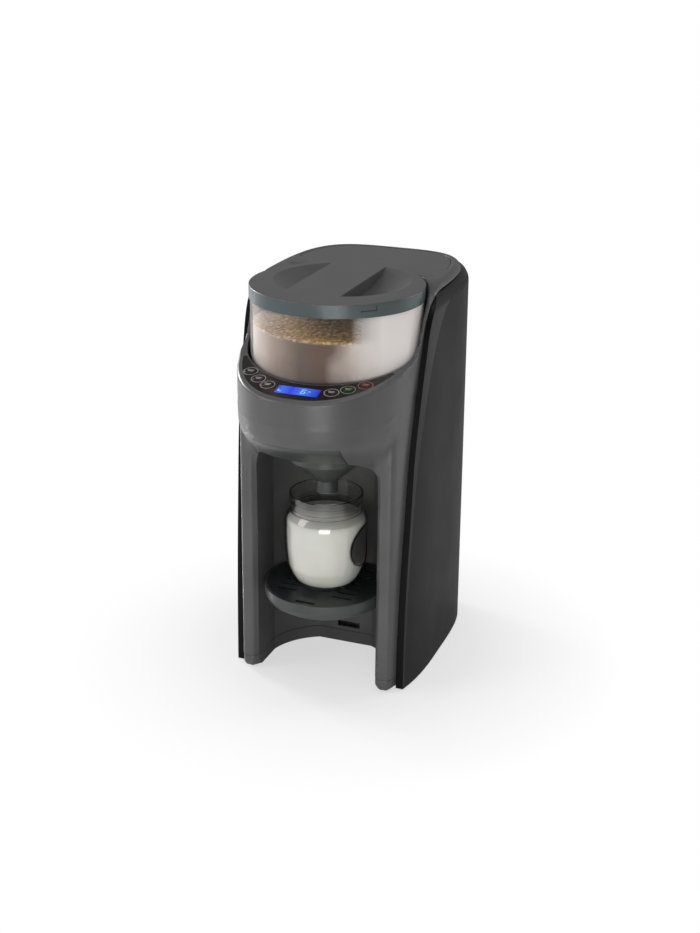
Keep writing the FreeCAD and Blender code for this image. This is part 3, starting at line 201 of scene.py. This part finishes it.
# From 36 mm right of the middle the hopper's wall is painted with a pale veil: painted light.
clear_hopper = clear("clear_copolyester_hopper", "#f6f0ec", 0.01, 0.36, 0.05, 36.0)
clear_tank = clear("clear_copolyester_tank", "#c9d2d8", 0.12, 0.8, 0.08)
clear_bottle = clear_moulding("clear_polypropylene_bottle", "#f2f2f0", 0.04)


def display_finish():
    """A backlit display: its own light is strongest near its left end and right of the middle."""
    made, tree, out, place = material("backlit_blue_display")
    parts = add(tree, "SeparateXYZ", Vector=place)
    half = 19 * MM
    across = add(tree, "MapRange", {"From Min": -half, "From Max": half},
                 Value=parts.outputs["X"])
    glow = ramp(tree, across.outputs["Result"],
                [(0.0, "#1238d0"), (0.12, "#3a74ff"), (0.35, "#1e3ff0"), (0.62, "#3f7cff"),
                 (1.0, "#1030c8")])
    shader = add(tree, "BsdfPrincipled", {"Base Color": "#0a1240", "Roughness": 0.12,
                                          "Emission Strength": 0.85}, Emission_Color=glow)
    tree.links.new(shader.outputs["BSDF"], out.inputs["Surface"])
    return made


blue_display = display_finish()
# Lit segments of the display: they hide the blue behind them.
lit_segment = moulded("lit_display_segment", "#8ec8ff", "#a4d6ff", 0.4, 5.0, 0.001,
                      **{"Emission Color": linear("#7cc8ff"), "Emission Strength": 0.6})
# Printed marks: a thin, slightly raised layer of screen ink, so it has no shine of its own.
ink_grey = moulded("pale_screen_ink", "#aaa6a4", "#b6b2b0", 0.55, 0.5, 0.002)
ink_green = moulded("green_screen_ink", "#7d9f78", "#88aa82", 0.55, 0.5, 0.002)
ink_red = moulded("red_screen_ink", "#b0585c", "#ba6266", 0.55, 0.5, 0.002)

PAINT = {
    blue_display: ["lcd_module"],
    grey_abs: ["front_housing", "bay_liner", "hopper_deck", "lid_cap", "tank_lid"],
    grey_tray: ["tray_dish", "tray_bracket"],
    grey_base: ["base_plate"],
    charcoal_abs: ["side_panel_left", "side_panel_right", "back_cover"],
    black_trim: ["side_trim_left", "side_trim_right", "hopper_base"],
    black_acrylic: ["control_lens"],
    cap_black: ["button_left_1", "button_left_2", "button_left_3", "button_right_1",
                "button_right_2", "button_right_3"],
    smoky_polycarbonate: ["lid_ring"],
    smoky_funnel: ["funnel_body", "funnel_front"],
    grille_black: ["tray_grille"],
    rubber: ["rubber_feet", "cord_gland"],
    natural_plastic: ["tact_switches", "powder_chute", "gearbox_plate", "motor_pinion",
                      "idler_gear", "drive_gear", "drive_coupling", "dosing_wheel", "stirrer",
                      "tank_bay", "tank_valve", "valve_cage", "chassis_plate", "pump",
                      "outlet_nozzle", "funnel_switch"],
    silicone: ["lid_seal", "inlet_seal", "inlet_hose", "pump_hose", "outlet_hose"],
    steel: ["base_screws", "deck_screws", "gear_motor", "valve_spring"],
    aluminium: ["heater_block"],
    solder_mask: ["control_board", "main_board"],
    clear_hopper: ["hopper_body", "hopper_floor"],
    clear_tank: ["water_tank"],
    clear_bottle: ["bottle"],
}


for finish, names in PAINT.items():
    for name in names:
        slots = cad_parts[name].data.materials
        slots.clear()
        slots.append(finish)


# ---- mesh helpers ---------------------------------------------------------------------------
def piece(name, mesh, finish, body, smooth=True):
    """Turn a bmesh, in metres in the object's frame, into a piece that rides on a body."""
    bmesh.ops.recalc_face_normals(mesh, faces=mesh.faces)
    data = bpy.data.meshes.new(name)
    mesh.to_mesh(data)
    mesh.free()
    made = bpy.data.objects.new(name, data)
    bpy.context.collection.objects.link(made)
    data.materials.append(finish)
    if smooth:
        data.shade_smooth()
    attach(made, body)
    return made


def node_copy(name):
    """A node's mesh as a bmesh, with its faces joined at their shared points."""
    mesh = bmesh.new()
    mesh.from_mesh(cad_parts[name].data)
    bmesh.ops.remove_doubles(mesh, verts=mesh.verts, dist=WELD)
    return mesh


def turned_profile(points, axis, steps=96):
    """A closed turned body from radius and height pairs in millimetres."""
    mesh = bmesh.new()
    ring = [mesh.verts.new((axis.x + r * MM, axis.y, z * MM)) for r, z in points]
    edges = [mesh.edges.new(pair) for pair in zip(ring, ring[1:])]
    bmesh.ops.spin(mesh, geom=ring + edges, cent=axis, axis=(0, 0, 1), angle=2 * math.pi,
                   steps=steps, use_merge=True)
    bmesh.ops.remove_doubles(mesh, verts=mesh.verts, dist=0.00002)
    return mesh


# ---- rounded rim of the head ----------------------------------------------------------------
# The head's outline from above is a squared ellipse, and its top slopes up to the rear.
HEAD_HALF, HEAD_FRONT, HEAD_POWER = 81.0 * MM, 135.0 * MM, 2.38
SLOPE = math.atan(0.21)
PANEL_Y, PANEL_Z = -122, 286.3                     # a point on that top, at its middle
ON_PANEL = Vector((0, PANEL_Y, PANEL_Z)) * MM
# The rounding's radius, the place along Y where it has run out, and over how long it does.
RIM_R, RIM_END, RIM_FADE = 3.2 * MM, -61.0 * MM, 14.0 * MM
RIM_SHARP = math.radians(32)                       # edges with a larger turn stay sharp


def round_rim():
    """The front housing with the outer edge of its sloping top rounded. Cuts parallel to the top
    give its wall rows of points, and each row is drawn in to a quarter circle."""
    mesh = node_copy("front_housing")
    upwards = Vector((0, -math.sin(SLOPE), math.cos(SLOPE)))
    for degrees in (0, 13, 26, 39, 52, 65, 78):
        depth = RIM_R * (1 - math.sin(math.radians(degrees)))
        near = [face for face in mesh.faces if face.calc_center_median().z > 255 * MM]
        parts = {item for face in near for item in (*face.verts, *face.edges)}
        bmesh.ops.bisect_plane(mesh, geom=near + list(parts), plane_co=ON_PANEL - upwards * depth,
                               plane_no=upwards, dist=0.0000005)
    for vert in mesh.verts:
        x, y = abs(vert.co.x), abs(vert.co.y)
        reach = (x / HEAD_HALF) ** HEAD_POWER + (y / HEAD_FRONT) ** HEAD_POWER
        share = min(max((RIM_END - vert.co.y) / RIM_FADE, 0), 1)
        radius = RIM_R * share * share * (3 - 2 * share)
        depth = max((ON_PANEL - vert.co).dot(upwards), 0)
        if reach > 0.99 and depth < radius and vert.co.z < 300 * MM:
            slope_x = x ** (HEAD_POWER - 1) / HEAD_HALF ** HEAD_POWER
            slope_y = y ** (HEAD_POWER - 1) / HEAD_FRONT ** HEAD_POWER
            inwards = Vector((-math.copysign(slope_x, vert.co.x), slope_y, 0)).normalized()
            vert.co += inwards * (radius - math.sqrt(radius ** 2 - (radius - depth) ** 2))
    made = piece("front_housing_rounded", mesh, grey_abs, "housing")
    made.data.set_sharp_from_angle(angle=RIM_SHARP)
    shading = made.modifiers.new("large_faces_lead", "WEIGHTED_NORMAL")
    shading.mode, shading.keep_sharp, shading.weight = "FACE_AREA", True, 50
    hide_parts("front_housing")


round_rim()


def valve_spring():
    """The spring, which shortens towards its upper seat in the cage as the valve lifts, as a piece
    with a mesh of its own, riding on the tank.
    """
    made = piece("valve_spring_coil", node_copy("valve_spring"), steel, "tank")
    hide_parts("valve_spring")
    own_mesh(made)


valve_spring()


# ---- display and marks on the panel ---------------------------------------------------------
# Heights off the lens, low and high, in millimetres, of thin marks: on the display's face, which
# lies a little lower, on the lens itself and on a button's cap.
ON_DISPLAY, ON_LENS, ON_CAP = (-0.29, -0.25), (-0.01, 0.03), (0.59, 0.63)


def panel_matrix(x, v, w):
    """Turns a piece made at the origin, in millimetres with +Z up, onto the sloping panel."""
    place = Vector((x, PANEL_Y + v * math.cos(SLOPE) - w * math.sin(SLOPE),
                    PANEL_Z + v * math.sin(SLOPE) + w * math.cos(SLOPE)))
    return Matrix.Scale(MM, 4) @ Matrix.Translation(place) @ Matrix.Rotation(SLOPE, 4, "X")


def bar(x0, x1, v0, v1, heights):
    """A small block lying on the panel, from ranges across it, up it and off it."""
    mesh = bmesh.new()
    w0, w1 = heights
    sizes = Matrix.Diagonal((x1 - x0, v1 - v0, w1 - w0, 1))
    spot = panel_matrix((x0 + x1) / 2, (v0 + v1) / 2, (w0 + w1) / 2)
    bmesh.ops.create_cube(mesh, size=1.0, matrix=spot @ sizes)
    return mesh


def flat_ring(x, v, inner, outer, heights):
    """A thin flat ring lying on the panel."""
    mesh = bmesh.new()
    w0, w1 = heights
    corners = [mesh.verts.new(place) for place in
               ((inner, 0, w0), (outer, 0, w0), (outer, 0, w1), (inner, 0, w1))]
    edges = [mesh.edges.new(pair) for pair in zip(corners, corners[1:] + corners[:1])]
    bmesh.ops.spin(mesh, geom=corners + edges, axis=(0, 0, 1), angle=2 * math.pi, steps=48,
                   use_merge=True)
    bmesh.ops.transform(mesh, matrix=panel_matrix(x, v, 0), verts=mesh.verts)
    return mesh


# The lit segments of a figure six: its ends across, in widths, and up, in millimetres.
SIX = {"a": (0, 1, 6, 6), "c": (1, 1, 0, 3), "d": (0, 1, 0, 0), "e": (0, 0, 0, 3),
       "f": (0, 0, 3, 6), "g": (0, 1, 3, 3)}
DIGIT_X, DIGIT_V, DIGIT_WIDTH, DIGIT_HALF = 3.6, 2.6, 3.2, 0.28    # lower left, half a stroke
for letter, (x0, x1, v0, v1) in SIX.items():
    segment = bar(DIGIT_X + x0 * DIGIT_WIDTH - DIGIT_HALF, DIGIT_X + x1 * DIGIT_WIDTH + DIGIT_HALF,
                  DIGIT_V + v0 - DIGIT_HALF, DIGIT_V + v1 + DIGIT_HALF, ON_DISPLAY)
    piece("digit_count_" + letter, segment, lit_segment, "housing", False)
# Small signs at both ends of the display: left, bottom, width and height of each.
SIGNS = ((-16.8, 2.4, 0.9, 3.0), (-15.4, 2.4, 1.6, 0.7), (9.0, 2.9, 0.7, 0.7),
         (9.0, 6.2, 2.2, 0.6))
for number, (x, v, width, tall) in enumerate(SIGNS):
    sign = bar(x, x + width, v, v + tall, ON_DISPLAY)
    piece("display_mark_" + str(number), sign, lit_segment, "housing", False)

# Bearing from the front and distance from the hopper's axis of each button.
BUTTONS = [(18.3, 89.9), (27.1, 87.3), (37.2, 84.8)]
INKS = {"button_right_2": ink_green, "button_right_3": ink_red}
RING_INNER, RING_OUTER = 5.85, 6.35
MARKS = (("top", 0.9, 2.9), ("low", -0.9, 2.1))    # name, place up the cap, half the width
MARK_HALF = 0.4                                    # and half the height
for side, word in ((-1, "left"), (1, "right")):
    for number, (bearing, radius) in enumerate(BUTTONS):
        name = "button_" + word + "_" + str(number + 1)
        x = side * radius * math.sin(math.radians(bearing))
        y = HOPPER_Y - radius * math.cos(math.radians(bearing))
        v = (y - PANEL_Y) / math.cos(SLOPE)
        ink = INKS.get(name, ink_grey)
        ring = flat_ring(x, v, RING_INNER, RING_OUTER, ON_LENS)
        piece(name + "_ring", ring, ink, "housing", False)
        for row, place, width in MARKS:
            mark = bar(x - width, x + width, v + place - MARK_HALF, v + place + MARK_HALF, ON_CAP)
            piece(name + "_mark_" + row, mark, ink, name, False)


# ---- powder in the hopper -------------------------------------------------------------------
# Levels in millimetres: the lowest that grains reach, how far that edge wanders, and the heap,
# below which the grains are painted paler as painted light.
GRAINS_LOW, GRAINS_SWAY, HEAP_LOW = 319.5, 7, 324.0


def powder_finish():
    """Milk powder: a pale smooth bulk with coarse golden grains lying on top of it. Its colour
    across the hopper carries painted light: painted shade in the middle of the bulk and painted
    reflections, pale to near white, at its sides; on the top, paler at the left and plain pale
    at the right. Below the heap the grains are painted paler."""
    made, tree, out, place = material("formula_powder")
    parts = add(tree, "SeparateXYZ", Vector=place)
    across = add(tree, "MapRange", {"From Min": -HOPPER_R * MM, "From Max": HOPPER_R * MM},
                 Value=parts.outputs["X"])
    wander = add(tree, "TexNoise", {"Scale": 1 / (14 * MM), "Detail": 4.0, "Roughness": 0.65},
                 Vector=place)
    sway = add(tree, "Math", {"operation": "MULTIPLY_ADD", "1": GRAINS_SWAY * MM,
                              "2": GRAINS_LOW * MM}, i0=wander.outputs["Fac"])
    above = add(tree, "Math", {"operation": "SUBTRACT"}, i0=parts.outputs["Z"], i1=sway.outputs[0])
    mask = add(tree, "MapRange", {"From Min": -0.8 * MM, "From Max": 1.2 * MM},
               Value=above.outputs[0])
    grains = add(tree, "TexVoronoi", {"Scale": 1 / (2.3 * MM), "Randomness": 1.0}, Vector=place)
    golden = ramp(tree, grains.outputs["Color"],
                  [(0.0, "#5a3a08"), (0.3, "#9a6a18"), (0.65, "#c99640"), (1.0, "#f8dc9a")])
    # Painted light: below the heap, at the wall, the grains take this paler copy of the golden
    # colours.
    painted_paler_grains = ramp(tree, grains.outputs["Color"],
                 [(0.0, "#5c4a2e"), (0.3, "#8c7650"), (0.65, "#b8a582"), (1.0, "#f2e8d0")])
    heaped = add(tree, "MapRange", {"From Min": HEAP_LOW * MM, "From Max": (HEAP_LOW + 1.2) * MM},
                 Value=parts.outputs["Z"])
    coarse = add(tree, "Mix", {"data_type": "RGBA"}, i0=heaped.outputs["Result"], i6=painted_paler_grains,
                 i7=golden)
    # Painted light: the top is paled towards the left and painted plain pale at the hopper's
    # right.
    painted_light_on_top = ramp(tree, across.outputs["Result"], [(0.0, "#a8a8a8"), (0.3, "#101010"),
                                                  (0.74, "#000000"), (0.86, "#ffffff")])
    top = add(tree, "Mix", {"data_type": "RGBA", "7": "#dcd8d6"}, i0=painted_light_on_top,
              i6=coarse.outputs[2])
    bulk = add(tree, "TexNoise", {"Scale": 1 / (30 * MM), "Detail": 5.0}, Vector=place)
    shift = add(tree, "Math", {"operation": "MULTIPLY_ADD", "1": 0.16, "2": -0.08},
                i0=bulk.outputs["Fac"])
    spot = add(tree, "Math", {"operation": "ADD"}, i0=across.outputs["Result"],
               i1=shift.outputs[0])
    # Painted light: the bulk is pale at the left, painted dark in the middle and near white at the
    # right, as painted shade and painted reflections of the clear wall.
    cream_and_painted_light = ramp(tree, spot.outputs[0], [(0.06, "#c6b8ae"), (0.25, "#8a7464"), (0.45, "#4c3828"),
                                         (0.62, "#5e4838"), (0.78, "#d4c9c2"), (0.9, "#fbf7f4")])
    colour = add(tree, "Mix", {"data_type": "RGBA"}, i0=mask.outputs["Result"], i6=cream_and_painted_light,
                 i7=top.outputs[2])
    dust = add(tree, "TexNoise", {"Scale": 1 / (0.8 * MM), "Detail": 2.0}, Vector=place)
    height = add(tree, "Mix", {"data_type": "FLOAT"}, i0=mask.outputs["Result"],
                 i2=dust.outputs["Fac"], i3=grains.outputs["Distance"])
    bump = add(tree, "Bump", {"Strength": 0.6, "Distance": 0.4 * MM}, Height=height.outputs[0])
    shader = add(tree, "BsdfPrincipled", {"Roughness": 0.85, "IOR": 1.4},
                 Base_Color=colour.outputs[2], Normal=bump.outputs["Normal"])
    tree.links.new(shader.outputs["BSDF"], out.inputs["Surface"])
    return made


powder = turned_profile([(0, 288.0), (71.6, 288.0), (72.05, 288.6), (72.05, 324.4), (71.4, 325.0),
                         (62, 326.2), (46, 328.4), (28, 329.6), (12, 330.2), (0, 330.4)], HOPPER)
for vert in powder.verts:
    if vert.co.z > (HEAP_LOW + 0.2) * MM:
        x, y = vert.co.x / MM, vert.co.y / MM
        swell = math.sin(x / 9.0 + y / 17.0) + 0.7 * math.sin(y / 6.5 - x / 21.0)
        vert.co.z += 0.55 * swell * MM
piece("powder", powder, powder_finish(), "hopper")


# ---- latch mark on the lid's ring -----------------------------------------------------------
RING_R, LINE_PROUD = 75.65, 0.12
# The bearing, level, width and height of each short bar of the mark.
LATCH_BARS = ((-53.8, 351.4, 1.3, 1.5), (-52.0, 351.6, 3.4, 0.7), (-49.6, 351.6, 3.4, 0.7),
              (-47.2, 351.6, 3.4, 0.7), (-44.9, 351.6, 3.2, 0.7), (-43.9, 353.6, 0.7, 4.6))
ink_dark = moulded("dark_latch_line", "#08090a", "#0e1011", 0.6, 0.5, 0.002)
latch_mark = bmesh.new()
for bearing, height, width, tall in LATCH_BARS:
    spot = (Matrix.Translation(HOPPER + Vector((0, 0, height * MM)))
            @ Matrix.Rotation(math.radians(bearing), 4, "Z")
            @ Matrix.Translation((RING_R * MM, 0, 0)))
    sizes = Matrix.Diagonal((LINE_PROUD, width, tall, 1))
    bmesh.ops.create_cube(latch_mark, size=MM, matrix=spot @ sizes)
piece("lid_ring_latch_mark", latch_mark, ink_dark, "lid", False)


# ---- milk in the bottle ---------------------------------------------------------------------
# The bottle's hollow grip: its wall bends inwards about a line across the bottle's right side.
GRIP_X, GRIP_Z, GRIP_R = 70.7 * MM, 127.9 * MM, 41.0 * MM


def milk_finish():
    """Mixed formula: opaque, with light spreading a little way into it. In the hollow grip it is
    painted dark: painted shade, with a painted reflection of the dark bay."""
    made, tree, out, place = material("mixed_formula")
    cloud = add(tree, "TexNoise", {"Scale": 1 / (25 * MM), "Detail": 2.0}, Vector=place)
    pale = ramp(tree, cloud.outputs["Fac"], [(0.35, "#c1c1bc"), (0.65, "#cacac5")])
    from_line = add(tree, "VectorMath", {"operation": "SUBTRACT", "1": (GRIP_X, 0, GRIP_Z)},
                    i0=place)
    flat = add(tree, "VectorMath", {"operation": "MULTIPLY", "1": (1, 0, 1)},
               i0=from_line.outputs[0])
    distance = add(tree, "VectorMath", {"operation": "LENGTH"}, i0=flat.outputs[0])
    # Painted shade: the milk within 0.2 to 1 mm of the grip's surface is painted dark grey.
    painted_grip_shade = add(tree, "MapRange", {"From Min": GRIP_R + 0.2 * MM, "From Max": GRIP_R + 1.0 * MM,
                                   "To Min": 1.0, "To Max": 0.0}, Value=distance.outputs["Value"])
    colour = add(tree, "Mix", {"data_type": "RGBA", "7": "#6b6c68"}, i0=painted_grip_shade.outputs["Result"],
                 i6=pale)
    shader = add(tree, "BsdfPrincipled", {"Roughness": 0.25, "IOR": 1.35,
                                          "Subsurface Weight": 0.15, "Subsurface Scale": 0.004},
                 Base_Color=colour.outputs[2])
    tree.links.new(shader.outputs["BSDF"], out.inputs["Surface"])
    return made


liquid = turned_profile([(0, 90.1), (21.4, 90.1), (28.6, 95.5), (31.4, 102.5), (33.5, 110),
                         (34.2, 115), (34.6, 120), (34.9, 125), (35.0, 130), (35.1, 135),
                         (35.2, 140), (35.2, 144.5), (34.8, 149), (34.4, 151.6), (33.8, 152.2),
                         (0, 152.2)], BAY, 160)
for vert in liquid.verts:
    rise = vert.co.z - GRIP_Z
    if abs(rise) < GRIP_R:
        vert.co.x = min(vert.co.x, GRIP_X - math.sqrt(GRIP_R ** 2 - rise ** 2))
piece("milk", liquid, milk_finish(), "bottle")


# ---- floor, backdrop and light --------------------------------------------------------------
PAPER_NEAR, PAPER_FAR = 0.12, 0.26                 # the shadow fades out between these, in metres


def studio_floor():
    """Glossy white paper: it keeps a soft shadow and a faint mirror image close to the object,
    and runs out to plain white."""
    made, tree, out, place = material("glossy_paper_floor")
    path = add(tree, "LightPath")
    sheen = add(tree, "BsdfPrincipled", {"Base Color": "#f4f4f4", "Roughness": 0.14})
    glow = add(tree, "Emission", {"Color": "#ffffff", "Strength": 1.0})
    away = add(tree, "VectorMath", {"operation": "LENGTH"}, i0=place)
    share = add(tree, "MapRange", {"From Min": PAPER_NEAR, "From Max": PAPER_FAR, "To Min": 0.6,
                                   "To Max": 1.0}, Value=away.outputs["Value"])
    straight = add(tree, "Math", {"operation": "MAXIMUM"}, i0=path.outputs["Is Camera Ray"],
                   i1=path.outputs["Is Transmission Ray"])
    seen = add(tree, "Math", {"operation": "MULTIPLY"}, i0=share.outputs["Result"],
               i1=straight.outputs[0])
    both = add(tree, "MixShader", Fac=seen.outputs[0], i1=sheen.outputs["BSDF"],
               i2=glow.outputs["Emission"])
    tree.links.new(both.outputs[0], out.inputs["Surface"])
    return made


sheet = bmesh.new()
bmesh.ops.create_grid(sheet, x_segments=1, y_segments=1, size=6)
floor_data = bpy.data.meshes.new("floor")
sheet.to_mesh(floor_data)
sheet.free()
floor = bpy.data.objects.new("floor", floor_data)
bpy.context.collection.objects.link(floor)
floor_data.materials.append(studio_floor())

world = bpy.data.worlds.new("studio")
bpy.context.scene.world = world
world.use_nodes = True
sky = world.node_tree
sky.nodes.clear()
path = add(sky, "LightPath")
white = add(sky, "Background", {"Color": "#ffffff", "Strength": 1.0})
dim = add(sky, "Background", {"Color": "#ffffff", "Strength": 0.3})
mix = add(sky, "MixShader", Fac=path.outputs["Is Camera Ray"], i1=dim.outputs[0],
          i2=white.outputs[0])
add(sky, "OutputWorld", Surface=mix.outputs[0])


def softbox(name, place, target, size, watts):
    """A rectangular lamp that faces its target."""
    lamp = bpy.data.lights.new(name, "AREA")
    lamp.shape = "RECTANGLE"
    lamp.size, lamp.size_y = size
    lamp.energy = watts
    made = bpy.data.objects.new(name, lamp)
    bpy.context.collection.objects.link(made)
    made.location = place
    made.rotation_mode = "QUATERNION"
    made.rotation_quaternion = (Vector(target) - Vector(place)).to_track_quat("-Z", "Y")


softbox("softbox_left", (-1.3, -1.0, 0.9), (0, 0, 0.2), (0.7, 1.2), 10)
softbox("softbox_top", (0.2, -0.2, 1.7), (0, 0, 0.2), (1.2, 1.2), 6.5)
softbox("softbox_right", (1.3, 1.1, 0.8), (0, 0, 0.2), (0.5, 1.2), 8)
softbox("softbox_front", (0.5, -1.7, 0.3), (0, 0, 0.15), (0.9, 0.6), 12)
softbox("softbox_rim", (-1.5, 0.55, 0.65), (-0.07, -0.09, 0.29), (0.4, 0.4), 18)


# ---- camera ---------------------------------------------------------------------------------
AZIMUTH, ELEVATION, ROLL = math.radians(20.43), math.radians(20.96), math.radians(0.61)
TARGET, DISTANCE = Vector((0.00936, -0.0171, 0.1874)), 1.3426
FOCAL, SENSOR = 57.87, 36                          # in millimetres, the sensor's by its height
away = Vector((math.sin(AZIMUTH) * math.cos(ELEVATION), -math.cos(AZIMUTH) * math.cos(ELEVATION),
               math.sin(ELEVATION)))
right = Vector((math.cos(AZIMUTH), math.sin(AZIMUTH), 0))
up = away.cross(right)
right, up = (right * math.cos(ROLL) + up * math.sin(ROLL),
             up * math.cos(ROLL) - right * math.sin(ROLL))
lens = bpy.data.cameras.new("camera")
lens.sensor_fit = "VERTICAL"
lens.sensor_height = SENSOR
lens.lens = FOCAL
camera = bpy.data.objects.new("camera", lens)
bpy.context.collection.objects.link(camera)
turn = Matrix((right, up, away)).transposed().to_4x4()
camera.matrix_world = Matrix.Translation(TARGET + away * DISTANCE) @ turn
bpy.context.scene.camera = camera
bpy.context.scene.view_settings.view_transform = "Standard"
